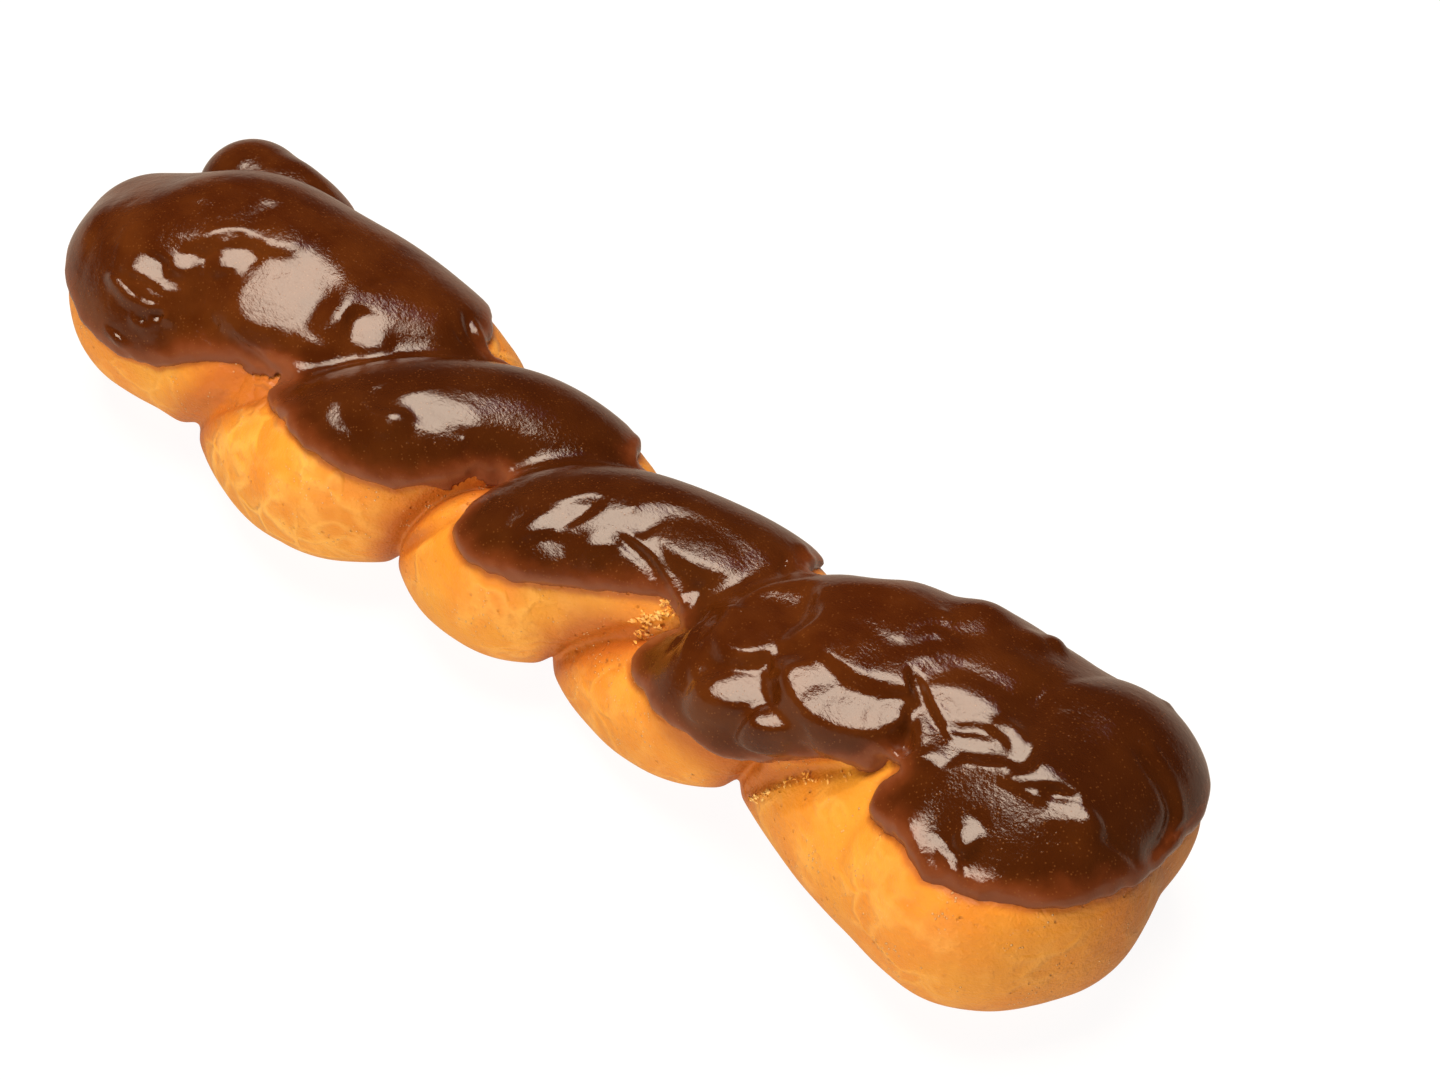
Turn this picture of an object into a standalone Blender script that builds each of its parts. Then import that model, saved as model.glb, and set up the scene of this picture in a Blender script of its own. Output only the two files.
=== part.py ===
"""A chocolate-iced twisted doughnut.

Two strands of risen, fried yeast dough are wound round each other into one
piece. Its top is dipped in chocolate icing, which sets as a thin skin down to
a wavy edge on the lobes' sides.

The twist lies along X with its broad end at +X and its near side at -Y. It
rests on Z = 0, and the origin is at the bottom centre of its box.
"""
import math

import bpy
import numpy as np

MM = 0.001

# Stations along the twist where the strands lie side by side: the far end, the
# five lobes A to E of the near side, and the broad end.
STATIONS = np.array([-98.6, -89.5, -41.7, -4.0, 37.1, 92.3, 96.2]) * MM

# Each strand at those stations: how far it reaches to the side (+Y is the far
# side), how high its middle is, and its radius.
STRAND_P = {
    "reach": np.array([4.2, -2.7, 18.1, -8.2, 7.1, -9.3, -2.6]) * MM,
    "height": np.array([17.0, 16.4, 12.9, 13.8, 15.4, 15.5, 17.4]) * MM,
    "radius": np.array([13.5, 16.1, 11.8, 13.3, 14.5, 17.2, 18.8]) * MM,
    "end_overhang": 0.0,
    "on_top_in_odd_gaps": True,
}
STRAND_Q = {
    "reach": np.array([27.1, 27.0, -11.6, 12.1, -8.6, 15.0, 11.9]) * MM,
    "height": np.array([15.9, 14.1, 13.9, 13.0, 12.0, 16.5, 18.3]) * MM,
    "radius": np.array([8.8, 9.0, 13.5, 11.7, 11.7, 13.3, 16.2]) * MM,
    "end_overhang": 2.5 * MM,
    "on_top_in_odd_gaps": False,
}

# Where the middle of the finished box lies, in the strands' measure.
BOX_CENTRE = np.array([0.86, 5.60, 0]) * MM

# The strands have risen into each other, so a core joins them along the middle.
CORE_ENDS = (-86 * MM, 84 * MM)
CORE_REACH = 3 * MM
CORE_HEIGHT = 13 * MM
CORE_RADIUS = 8.6 * MM

# In each of the six gaps between stations one strand crosses over the other.
RISE_OVER = np.array([0, 4.7, 4.6, 2.8, 8.2, 0]) * MM
SWELL_OVER = np.array([0, 3.4, 2.8, 0.9, 1.1, 0]) * MM
DIVE_UNDER = np.array([0, 5.0, 4.0, 5.5, 4.6, 0]) * MM
SQUEEZE_UNDER = np.array([0, -0.3, 0.9, 0.3, 2.8, 0]) * MM
# The crossings lean this far toward the far end of the twist.
LEAN = np.array([0, 12.8, 1.8, 6.3, 9.7, 0]) * MM

# Rolls that bulge from strand P: balls x, y, z and radius from end to end.
ROLL_OVER_A = np.array([(-56.2, 5.3, 19.5, 14), (-45.2, 12.8, 16.5, 12.5)]) * MM
SHELF_A = np.array([
    (-75.2, -5.2, 15.5, 13), (-65.2, -7.7, 15.8, 10), (-59.2, -8.0, 16.5, 8.3),
    (-53.2, -8.2, 19.8, 6.2), (-49.2, -5.2, 21.5, 4.2),
]) * MM
ROLL_OVER_D = np.array([(45.3, -8.5, 21.8, 8.3), (52.8, -7.5, 22.5, 9.0), (66.8, -3.5, 24.3, 9.0)]) * MM
ROLL_BALLS = 24
# Lobe A is filled out from the strand's end to these places, in gaps along it.
FILLED_TO = (1.1, 1.2, 1.3, 1.4, 1.5)
# The broad end is filled out from these places on strand Q to these on strand P.
JOINED = ((4.6, 5.9), (4.75, 5.5), (5.5, 5.7))
JOIN_INSET = 1.0 * MM

# Icing.
DOUGH_GAP = 0.3 * MM
ICING_THICKNESS = 1.6 * MM
# The edge's height on the near side and on the far side, from place to place
# along the twist. Along the middle it runs lower, down into the creases.
EDGE_PLACES = np.array([
    -112, -100, -90, -74, -60, -44, -34, -20, -4, 10,
    22, 30, 42, 54, 66, 75, 82, 92, 104, 114,
]) * MM
EDGE_NEAR = np.array([
    22, 22.5, 20.5, 19.8, 23.5, 27.3, 27.8, 25.6, 24.8, 25,
    26.5, 22, 20.8, 20.5, 26, 29, 27.5, 28.5, 28, 25,
]) * MM
EDGE_FAR = np.array([
    16, 16.5, 16.5, 18, 19, 20, 23.5, 19, 21, 21,
    20, 20, 26, 21.5, 21, 22, 22, 22, 22, 24,
]) * MM
EDGE_DIP = 8 * MM
EDGE_DIP_WIDTH = 7 * MM
EDGE_DIP_LENGTH = 82 * MM
EDGE_WAVE = 0.5 * MM
EDGE_WAVE_LENGTH = 17 * MM

# Fineness of the faceted surfaces.
STEPS_PER_GAP = 40
RING_SPACING = 5.2 * MM
RING_POINTS = 20
HULL_SIDES = 80
DOME_RINGS = 4
DOME_DEPTH = 8 * MM
SHEET_CELLS_X = 60
SHEET_CELLS_Y = 16

# The cutters under the floor and under the icing's edge reach past the twist.
SHEET_SIZE = (250 * MM, 92 * MM)
FLOOR_DEPTH = 10 * MM
SLIVER = 0.05 * MM


def centreline(strand):
    """Points x, y, z and a radius along a strand, from its first end to its last."""
    rows = []
    for gap in range(len(STATIONS) - 1):
        t = np.arange(STEPS_PER_GAP) / STEPS_PER_GAP
        lift = np.sin(math.pi * t)
        if gap == 0:
            blend = np.sin(math.pi * t / 2)
        elif gap == len(STATIONS) - 2:
            blend = 1 - np.cos(math.pi * t / 2)
        else:
            blend = (1 - np.cos(math.pi * t)) / 2
        reach, height, radius = (
            strand[name][gap] + (strand[name][gap + 1] - strand[name][gap]) * blend
            for name in ("reach", "height", "radius")
        )
        start = STATIONS[gap] - (strand["end_overhang"] if gap == 0 else 0)
        x = start + (STATIONS[gap + 1] - start) * t - LEAN[gap] * lift**2
        if (gap % 2 == 1) == strand["on_top_in_odd_gaps"]:
            height = height + RISE_OVER[gap] * lift
            radius = radius + SWELL_OVER[gap] * lift
        else:
            height = height - DIVE_UNDER[gap] * lift
            radius = radius - SQUEEZE_UNDER[gap] * lift
        rows.append(np.stack([x, reach, height, radius], axis=1))
    last = [STATIONS[-1], strand["reach"][-1], strand["height"][-1], strand["radius"][-1]]
    return np.concatenate(rows + [[last]])


def chain(balls):
    """Balls close together from each of these balls to the next."""
    share = np.linspace(0, 1, ROLL_BALLS)[:, None]
    return np.concatenate([first + (last - first) * share for first, last in zip(balls, balls[1:])])


def ball(line, place):
    """The ball at a place along a strand, counted in gaps."""
    return line[round(place * STEPS_PER_GAP)]


def core_line():
    """Points x, y, z and a radius along the core."""
    x = np.linspace(*CORE_ENDS, 5 * STEPS_PER_GAP)
    same = np.ones_like(x)
    return np.stack([x, CORE_REACH * same, CORE_HEIGHT * same, CORE_RADIUS * same], axis=1)


def ring_places(low, high):
    """Where the cross-sections of a strand lie between its two tips."""
    quarter = np.arange(1, DOME_RINGS + 1) / DOME_RINGS * math.pi / 2
    dome = DOME_DEPTH * (1 - np.cos(quarter))
    middle = np.arange(low + DOME_DEPTH, high - DOME_DEPTH, RING_SPACING)[1:]
    return np.concatenate([low + dome, middle, high - dome[::-1]])


def cross_section(line, grow, x):
    """The outline at x round all the balls along a strand, as rows of y and z.
    The balls are grown by a distance, but the outline keeps their middle."""
    cut = line[:, 3] ** 2 - (line[:, 0] - x) ** 2
    weight = np.maximum(cut, 0)
    middle = (line[:, 1:3] * weight[:, None]).sum(axis=0) / weight.sum()
    grown = (line[:, 3] + grow) ** 2 - (line[:, 0] - x) ** 2
    offset = line[grown > 0, 1:3] - middle
    radius = np.sqrt(grown[grown > 0])

    # How far the discs reach each way, then where their hull lies along each ray.
    turn = 2 * math.pi * np.arange(HULL_SIDES) / HULL_SIDES
    ways = np.stack([np.cos(turn), np.sin(turn)], axis=1)
    reach = (offset @ ways.T + radius[:, None]).max(axis=0)
    points = []
    for k in range(RING_POINTS):
        angle = 2 * math.pi * k / RING_POINTS
        facing = np.cos(turn - angle)
        farthest = (reach[facing > 0.1] / facing[facing > 0.1]).min()
        points.append(middle + np.array([math.cos(angle), math.sin(angle)]) * farthest)
    return points


def strand_mesh(name, line, grow):
    """A closed mesh through a strand's cross-sections, grown outward by a distance."""
    ends = line[:, 0] - line[:, 3]
    low = ends.min()
    first = line[ends.argmin()]
    ends = line[:, 0] + line[:, 3]
    high = ends.max()
    last = line[ends.argmax()]

    points = [(low - grow, first[1], first[2])]
    places = ring_places(low, high)
    for x in places:
        points += [(x, y, z) for y, z in cross_section(line, grow, x)]
    points.append((high + grow, last[1], last[2]))

    n = RING_POINTS
    tip = len(points) - 1
    faces = []
    for k in range(n):
        after = (k + 1) % n
        faces.append((0, 1 + after, 1 + k))
        for ring in range(len(places) - 1):
            a = 1 + ring * n
            b = a + n
            faces.append((a + k, a + after, b + after))
            faces.append((a + k, b + after, b + k))
        a = 1 + (len(places) - 1) * n
        faces.append((tip, a + k, a + after))
    mesh = bpy.data.meshes.new(name)
    mesh.from_pydata((np.array(points) - BOX_CENTRE).tolist(), [], faces)
    mesh.validate()
    return mesh


def add_object(name, mesh, collection):
    item = bpy.data.objects.new(name, mesh)
    collection.objects.link(item)
    return item


def make_cutter(name, mesh, cutters):
    item = add_object(name, mesh, cutters)
    item.hide_render = True
    item.display_type = "WIRE"
    return item


def boolean(item, other, operation):
    step = item.modifiers.new(operation.title() + " " + other.name, "BOOLEAN")
    step.operation = operation
    step.object = other
    step.solver = "EXACT"


def weld_slivers(item):
    """Closes up the very short edges that the joins leave."""
    step = item.modifiers.new("Weld", "WELD")
    step.merge_threshold = SLIVER


def material(name, colour, roughness):
    finish = bpy.data.materials.new(name)
    finish.use_nodes = True
    shader = finish.node_tree.nodes["Principled BSDF"]
    shader.inputs["Base Color"].default_value = (*colour, 1)
    shader.inputs["Roughness"].default_value = roughness
    shader.inputs["Metallic"].default_value = 0
    return finish


def below_edge_mesh(name, size_x, size_y):
    """A block that fills everything under the icing's wavy edge."""
    mesh = bpy.data.meshes.new(name)
    points = []
    for j in range(SHEET_CELLS_Y + 1):
        y = (j / SHEET_CELLS_Y - 0.5) * size_y
        for i in range(SHEET_CELLS_X + 1):
            x = (i / SHEET_CELLS_X - 0.5) * size_x
            near = np.interp(x, EDGE_PLACES, EDGE_NEAR)
            far = np.interp(x, EDGE_PLACES, EDGE_FAR)
            across = 1 / (1 + math.exp(-y / (3 * MM)))
            wave = EDGE_WAVE * math.sin(2 * math.pi * x / EDGE_WAVE_LENGTH + 1.3 * y / EDGE_WAVE_LENGTH)
            dip = EDGE_DIP * math.exp(-((y / EDGE_DIP_WIDTH) ** 4) - (x / EDGE_DIP_LENGTH) ** 8)
            points.append((x, y, near + (far - near) * across + wave - dip))
    row = SHEET_CELLS_X + 1
    faces = []
    for j in range(SHEET_CELLS_Y):
        for i in range(SHEET_CELLS_X):
            a = j * row + i
            faces.append((a, a + 1, a + row + 1, a + row))
    mesh.from_pydata(points, [], faces)
    return mesh


for item in list(bpy.data.objects):
    bpy.data.objects.remove(item)

parts = bpy.data.collections.new("chocolate_twist")
cutters = bpy.data.collections.new("cutters")
bpy.context.scene.collection.children.link(parts)
bpy.context.scene.collection.children.link(cutters)

line_p = centreline(STRAND_P)
line_q = centreline(STRAND_Q)
inset = np.array([0, 0, 0, JOIN_INSET])
joins = [chain([ball(line_q, q), ball(line_p, p) - inset]) for q, p in JOINED]
fill = [chain([line_p[0], ball(line_p, place)]) for place in FILLED_TO]
fill.append(chain([ball(line_p, 1.5), *ROLL_OVER_A]))
fill.append(chain([ball(line_p, 1.0), *SHELF_A]))
line_p = np.concatenate([line_p, *fill])
line_q = np.concatenate([line_q, *joins])
icing_outside = DOUGH_GAP + ICING_THICKNESS

# The dough: both strands and the core as one, flattened where it rests on the floor.
lines = {"strand q": line_q, "roll over D": chain(ROLL_OVER_D), "core": core_line()}
dough = add_object("dough", strand_mesh("dough", line_p, 0), parts)
dough.data.materials.append(material("fried dough", (0.80, 0.42, 0.12), 0.6))
for name, line in lines.items():
    boolean(dough, make_cutter(name, strand_mesh(name, line, 0), cutters), "UNION")
bpy.ops.mesh.primitive_cube_add(size=1, location=(0, 0, -FLOOR_DEPTH / 2))
floor = bpy.context.object
floor.name = "below the floor"
floor.scale = (*SHEET_SIZE, FLOOR_DEPTH)
for owner in list(floor.users_collection):
    owner.objects.unlink(floor)
cutters.objects.link(floor)
floor.hide_render = True
floor.display_type = "WIRE"
boolean(dough, floor, "DIFFERENCE")
weld_slivers(dough)

# The icing: a skin over both strands, a small gap off the dough, above its edge.
icing = add_object("icing", strand_mesh("icing", line_p, icing_outside), parts)
icing.data.materials.append(material("chocolate icing", (0.10, 0.022, 0.004), 0.25))
for name, line in lines.items():
    outer_name = "icing outside " + name
    outer = make_cutter(outer_name, strand_mesh(outer_name, line, icing_outside), cutters)
    boolean(icing, outer, "UNION")
for name, line in {"strand p": line_p, **lines}.items():
    inner_name = "icing inside " + name
    inner = make_cutter(inner_name, strand_mesh(inner_name, line, DOUGH_GAP), cutters)
    boolean(icing, inner, "DIFFERENCE")
below_edge = make_cutter("below the icing edge", below_edge_mesh("below edge", *SHEET_SIZE), cutters)
block = below_edge.modifiers.new("Depth", "SOLIDIFY")
block.thickness = 40 * MM
block.offset = -1
boolean(icing, below_edge, "DIFFERENCE")
weld_slivers(icing)
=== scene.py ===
import math

import bpy
import numpy as np
import openvdb
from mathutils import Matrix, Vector
from mathutils.kdtree import KDTree


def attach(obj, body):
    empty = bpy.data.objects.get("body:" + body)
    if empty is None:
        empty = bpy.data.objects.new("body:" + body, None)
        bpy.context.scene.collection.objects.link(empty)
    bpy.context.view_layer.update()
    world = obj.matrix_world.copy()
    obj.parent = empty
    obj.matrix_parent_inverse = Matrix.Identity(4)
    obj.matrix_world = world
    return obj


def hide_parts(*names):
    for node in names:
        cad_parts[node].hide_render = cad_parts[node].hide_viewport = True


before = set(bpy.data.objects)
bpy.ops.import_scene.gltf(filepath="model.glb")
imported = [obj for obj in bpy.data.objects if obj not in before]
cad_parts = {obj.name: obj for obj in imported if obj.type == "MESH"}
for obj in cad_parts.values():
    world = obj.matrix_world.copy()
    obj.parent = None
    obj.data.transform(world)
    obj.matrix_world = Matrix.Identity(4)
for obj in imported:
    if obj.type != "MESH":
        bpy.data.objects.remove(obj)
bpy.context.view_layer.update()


# The dough

# Two strands of sweet yeast dough, rolled by hand, wound round each other and
# left to rise into one piece, then fried in oil until golden. Its sides are pale
# gold, and its colour turns browner low down.

# Every size, place and field is in mm. Meshes and materials are in metres.
MM = 0.001
STEP = 0.5
BLOCK_LOW = (-119.22, -40.73, -5.0)
BLOCK_HIGH = (119.01, 39.06, 43.5)
FAR_OUTSIDE = 30.0
STEPS_PER_GAP = 60
FILL_BALLS = 24
CURVE_STEPS = 30
LINE_SPACING = 0.35
ICING_THICKNESS = 1.5
TRIANGLES_KEPT = 190000

# In each gap between these stations along the twist one strand passes over the
# other. Each list has a value for each station or for each gap.
STATIONS = np.array([-98.6, -89.5, -41.7, -4.0, 37.1, 92.3, 96.2])
MIDDLE = np.array([0.86, 5.60, 0])
FIRST_STRAND = {
    "reach": [4.2, -2.7, 18.1, -8.2, 7.1, -9.3, -2.6],
    "height": [17.0, 16.4, 12.9, 13.8, 15.4, 15.5, 17.4],
    "radius": [13.5, 16.1, 11.8, 13.3, 14.5, 17.2, 18.8],
    "overhang": 0.0,
    "over_in_odd_gaps": True,
}
SECOND_STRAND = {
    "reach": [27.1, 27.0, -11.6, 12.1, -8.6, 15.0, 11.9],
    "height": [15.9, 14.1, 13.9, 13.0, 12.0, 16.5, 18.3],
    "radius": [8.8, 9.0, 13.5, 11.7, 11.7, 13.3, 16.2],
    "overhang": 2.5,
    "over_in_odd_gaps": False,
}
RISE_OVER = [0, 4.7, 4.6, 2.8, 8.2, 0]
SWELL_OVER = [0, 3.4, 2.8, 0.9, 1.1, 0]
DIVE_UNDER = [0, 5.0, 4.0, 5.5, 4.6, 0]
SQUEEZE_UNDER = [0, -0.3, 0.9, 0.3, 2.8, 0]
LEAN = [0, 12.8, 1.8, 6.3, 9.7, 0]
CORE = {"ends": (-86, 84), "reach": 3, "height": 13, "radius": 8.6}
CORE_BALLS = 90


def strand_line(strand):
    """Balls x, y, z, radius along a strand of dough, from end to end."""
    rows = []
    for gap in range(len(STATIONS) - 1):
        t = np.arange(STEPS_PER_GAP) / STEPS_PER_GAP
        lift = np.sin(math.pi * t)
        if gap == 0:
            turn = np.sin(math.pi * t / 2)
        elif gap == len(STATIONS) - 2:
            turn = 1 - np.cos(math.pi * t / 2)
        else:
            turn = (1 - np.cos(math.pi * t)) / 2
        reach, height, radius = (
            strand[name][gap] + (strand[name][gap + 1] - strand[name][gap]) * turn
            for name in ("reach", "height", "radius")
        )
        start = STATIONS[gap] - (strand["overhang"] if gap == 0 else 0)
        x = start + (STATIONS[gap + 1] - start) * t - LEAN[gap] * lift**2
        if (gap % 2 == 1) == strand["over_in_odd_gaps"]:
            height = height + RISE_OVER[gap] * lift
            radius = radius + SWELL_OVER[gap] * lift
        else:
            height = height - DIVE_UNDER[gap] * lift
            radius = radius - SQUEEZE_UNDER[gap] * lift
        rows.append(np.stack([x, reach, height, radius], axis=1))
    last = [STATIONS[-1], strand["reach"][-1], strand["height"][-1], strand["radius"][-1]]
    line = np.concatenate(rows + [[last]])
    line[:, :3] -= MIDDLE
    return line


def soft_least(a, b, fillet):
    """The lesser of two fields, with a fillet where they meet."""
    share = np.clip(0.5 + 0.5 * (b - a) / fillet, 0, 1)
    return b * (1 - share) + a * share - fillet * share * (1 - share)


def soft_most(a, b, fillet):
    """The greater of two fields, with a fillet where they meet."""
    return -soft_least(-a, -b, fillet)


def smooth(points, spacing, closed=False):
    """Evenly spaced points on a smooth curve through the given ones."""
    points = np.array(points, float)
    if closed:
        points = np.concatenate([points[-1:], points, points[:2]])
    else:
        points = np.concatenate([[2 * points[0] - points[1]], points, [2 * points[-1] - points[-2]]])
    rows = []
    for a, b, c, d in zip(points, points[1:], points[2:], points[3:]):
        t = np.linspace(0, 1, CURVE_STEPS, endpoint=False)[:, None]
        slope, bend, twist = c - a, 2 * a - 5 * b + 4 * c - d, 3 * b - a - 3 * c + d
        rows.append(0.5 * (2 * b + slope * t + bend * t**2 + twist * t**3))
    curve = np.concatenate(rows + [points[-2:-1]])
    length = np.concatenate([[0], np.cumsum(np.linalg.norm(np.diff(curve, axis=0), axis=1))])
    at = np.arange(0, length[-1], spacing)
    return np.stack([np.interp(at, length, curve[:, k]) for k in range(3)], axis=1)


class Space:
    """A block of evenly spaced points round the twist. A field over them holds
    how far each point is outside a surface."""

    TUBE_REACH = 4.5
    FACET_BOW = 0.06
    FACET_REACH = 1.7
    FACET_FADE = 0.9
    FACET_DEPTH = 6
    FACET_MARGIN = 2
    SWELL_REACH = 2.6
    CREASE_REACH = 2.5
    CREASE_END = 0.25
    CREASE_RISE = 0.35
    SETTLE_ROUNDS = 3

    def __init__(self, low, high):
        self.low = np.array(low, float)
        count = np.ceil((np.array(high) - self.low) / STEP).astype(int) + 1
        self.axes = [(self.low[k] + STEP * np.arange(count[k])).astype(np.float32) for k in range(3)]
        self.shape = tuple(count)

    def grid(self, part):
        """The coordinates of a part of the block, to be combined over it."""
        x, y, z = (self.axes[k][part[k]] for k in range(3))
        return x[:, None, None], y[None, :, None], z[None, None, :]

    def around(self, point, reach):
        """The part of the block within reach of a point, and its coordinates there."""
        first = np.floor((np.array(point) - reach - self.low) / STEP).astype(int)
        last = np.ceil((np.array(point) + reach - self.low) / STEP).astype(int) + 1
        first = np.clip(first, 0, self.shape)
        last = np.clip(last, 0, self.shape)
        part = tuple(slice(a, b) for a, b in zip(first, last))
        return part, *self.grid(part)

    def tube(self, line):
        """Distance outside the balls along a line."""
        field = np.full(self.shape, FAR_OUTSIDE, np.float32)
        for x0, y0, z0, radius in line.astype(np.float32):
            part, x, y, z = self.around((x0, y0, z0), radius + self.TUBE_REACH)
            away = np.sqrt((x - x0) ** 2 + (y - y0) ** 2 + (z - z0) ** 2) - radius
            field[part] = np.minimum(field[part], away)
        return field

    def facet(self, field, middle, normal, along, half_length, half_width):
        """Flattens a patch of a surface under the icing, so that the icing over it
        faces along the given normal, its middle at the given one."""
        normal = np.array(normal) / np.linalg.norm(normal)
        along = np.array(along) - normal * np.dot(along, normal)
        along /= np.linalg.norm(along)
        across = np.cross(normal, along)
        middle = np.array(middle) - normal * ICING_THICKNESS
        reach = self.FACET_REACH * max(half_length, half_width) + self.FACET_MARGIN
        part, x, y, z = self.around(middle, reach)
        x, y, z = x - middle[0], y - middle[1], z - middle[2]
        u, v, height = (x * way[0] + y * way[1] + z * way[2] for way in (along, across, normal))
        out = np.sqrt((u / half_length) ** 2 + (v / half_width) ** 2)
        share = np.clip((self.FACET_REACH - out) / self.FACET_FADE, 0, 1)
        share = share * np.clip((self.FACET_DEPTH - np.abs(height)) / 2, 0, 1)
        share = share * share * (3 - 2 * share)
        flat = height + self.FACET_BOW * (u**2 / half_length + v**2 / half_width)
        field[part] += (share * (flat - field[part])).astype(np.float32)

    def swell(self, field, height, radius, middle):
        """Adds a round swelling to a surface, or a dent where the height is negative."""
        part, x, y, z = self.around(middle, self.SWELL_REACH * radius)
        away = (x - middle[0]) ** 2 + (y - middle[1]) ** 2 + (z - middle[2]) ** 2
        field[part] -= height * np.exp(-away / radius**2)

    def crease(self, field, height, half_width, points):
        """Adds a ridge along a line on a surface, or a groove where the height is
        negative. It fades towards both ends."""
        line = self.settled(field, smooth(points, LINE_SPACING))
        reach = self.CREASE_REACH * half_width
        part = []
        for k in range(3):
            low = int(np.clip((line[:, k].min() - reach - self.low[k]) / STEP, 0, self.shape[k]))
            high = int(np.clip((line[:, k].max() + reach - self.low[k]) / STEP + 2, 0, self.shape[k]))
            part.append(slice(low, high))
        x, y, z = self.grid(part)
        strength = np.zeros((x.shape[0], y.shape[1], z.shape[2]), np.float32)
        for k, (x0, y0, z0) in enumerate(line.astype(np.float32)):
            fade = min(1, self.CREASE_END + self.CREASE_RISE * min(k, len(line) - 1 - k) * LINE_SPACING)
            away = (x - x0) ** 2 + (y - y0) ** 2 + (z - z0) ** 2
            strength = np.maximum(strength, fade * np.exp(-away / half_width**2))
        field[tuple(part)] -= height * strength

    def settled(self, field, points):
        """Points moved onto the surface."""
        for _ in range(self.SETTLE_ROUNDS):
            points = points - self.at(field, points)[:, None] * self.slope(field, points)
        return points

    def lumps(self, height, size, seed):
        """Smooth random swells, up to about this high and this far across."""
        draw = np.random.default_rng(seed)
        weights = []
        for axis in self.axes:
            u = (axis - axis[0]) / size
            cell = np.floor(u).astype(int)
            t = u - cell
            row = np.zeros((len(axis), cell[-1] + 4))
            spline = ((1 - t) ** 3, 3 * t**3 - 6 * t**2 + 4, -3 * t**3 + 3 * t**2 + 3 * t + 1, t**3)
            for k, weight in enumerate(spline):
                row[np.arange(len(axis)), cell + k] = weight / 6
            weights.append(row)
        knots = draw.uniform(-1, 1, [w.shape[1] for w in weights])
        swells = np.einsum("ia,jb,kc,abc->ijk", *weights, knots, optimize=True).astype(np.float32) * 2
        return height * swells

    def at(self, field, points):
        """The field's value at any points, in a straight blend of its neighbours."""
        u = (points - self.low) / STEP
        cell = np.clip(np.floor(u).astype(int), 0, np.array(self.shape) - 2)
        t = u - cell
        total = 0
        for corner in np.ndindex(2, 2, 2):
            weight = np.prod(np.where(corner, t, 1 - t), axis=1)
            i, j, k = (cell + corner).T
            total = total + weight * field[i, j, k]
        return total

    def slope(self, field, points):
        """The way straight out of the surface at some points."""
        moves = np.eye(3) * STEP
        out = np.stack([self.at(field, points + m) - self.at(field, points - m) for m in moves], axis=1)
        return out / np.linalg.norm(out, axis=1)[:, None]

    def mesh(self, name, field, passes, hidden, even_share):
        """A closed mesh where the field is 0, relaxed in a few passes and thinned to an
        even share of its triangles. Where the hidden field is above 0 it is made coarser
        until few enough triangles are left."""
        grid = openvdb.FloatGrid(FAR_OUTSIDE)
        grid.copyFromArray(np.ascontiguousarray(field, np.float32))
        points, triangles, quads = grid.convertToPolygons(0.0, 0.0)
        points = points * STEP + self.low
        made = bpy.data.meshes.new(name)
        made.from_pydata((points * MM).tolist(), [], quads.tolist() + triangles.tolist())
        made.shade_smooth()
        piece = bpy.data.objects.new(name, made)
        bpy.context.scene.collection.objects.link(piece)
        relax = piece.modifiers.new("relax", "SMOOTH")
        relax.factor = 0.5
        relax.iterations = passes
        coarse = piece.vertex_groups.new(name="coarse")
        coarse.add(np.flatnonzero(self.at(hidden, points) > 0).tolist(), 1.0, "REPLACE")
        piece.modifiers.new("even", "DECIMATE").ratio = even_share
        thin = piece.modifiers.new("thin", "DECIMATE")
        thin.ratio = TRIANGLES_KEPT / (2 * len(quads) + len(triangles)) / even_share
        thin.vertex_group = "coarse"
        return piece


space = Space(BLOCK_LOW, BLOCK_HIGH)
first_line = strand_line(FIRST_STRAND)
second_line = strand_line(SECOND_STRAND)


def ball(line, at):
    """The ball of a strand so many gaps along it."""
    return line[round(at * STEPS_PER_GAP)]


def swollen(first, last):
    """Balls that fill out the dough between two others."""
    return first + (last - first) * np.linspace(0, 1, FILL_BALLS)[:, None]


def chain(*balls):
    """Balls close together along straight lines from one given ball to the next."""
    balls = [np.array(item, float) for item in balls]
    return np.concatenate([swollen(a, b) for a, b in zip(balls, balls[1:])])


# The first strand is filled out between its left end and the first lobe, and
# carries a roll and a shelf of dough there and a roll on its fourth lobe. Each
# ball is x, y, z, radius. The joins fill out the dough between a place on the
# second strand and one on the first. Places are in gaps from the left end.
FIRST_LOBE = (1.1, 1.2, 1.3, 1.4, 1.5)
FIRST_LOBE_ROLL_FROM = 1.5
FIRST_LOBE_ROLL_FILLET = 5
FIRST_LOBE_SHELF_FROM = 1.0
FIRST_LOBE_SHELF_FILLET = 1.5
FOURTH_LOBE_ROLL_FILLET = 4
FIRST_LOBE_ROLL = [
    (-57.1, -0.3, 19.5, 14), (-46.1, 7.2, 16.5, 12.5),
]
FIRST_LOBE_SHELF = [
    (-76.1, -10.8, 15.5, 13), (-66.1, -13.3, 15.8, 10), (-60.1, -13.6, 16.5, 8.3),
    (-54.1, -13.8, 19.8, 6.2), (-50.1, -10.8, 21.5, 4.2),
]
FOURTH_LOBE_ROLL = [
    (44.4, -16.1, 22.8, 6.3), (48.9, -17.4, 24.0, 6.2), (57.9, -14.1, 24.8, 6.0),
    (65.9, -11.1, 26.3, 6.0), (69.9, -9.8, 27.5, 6.0),
]
JOINS = [(4.6, 5.9), (4.75, 5.5), (5.5, 5.7), (6, 6)]

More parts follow.
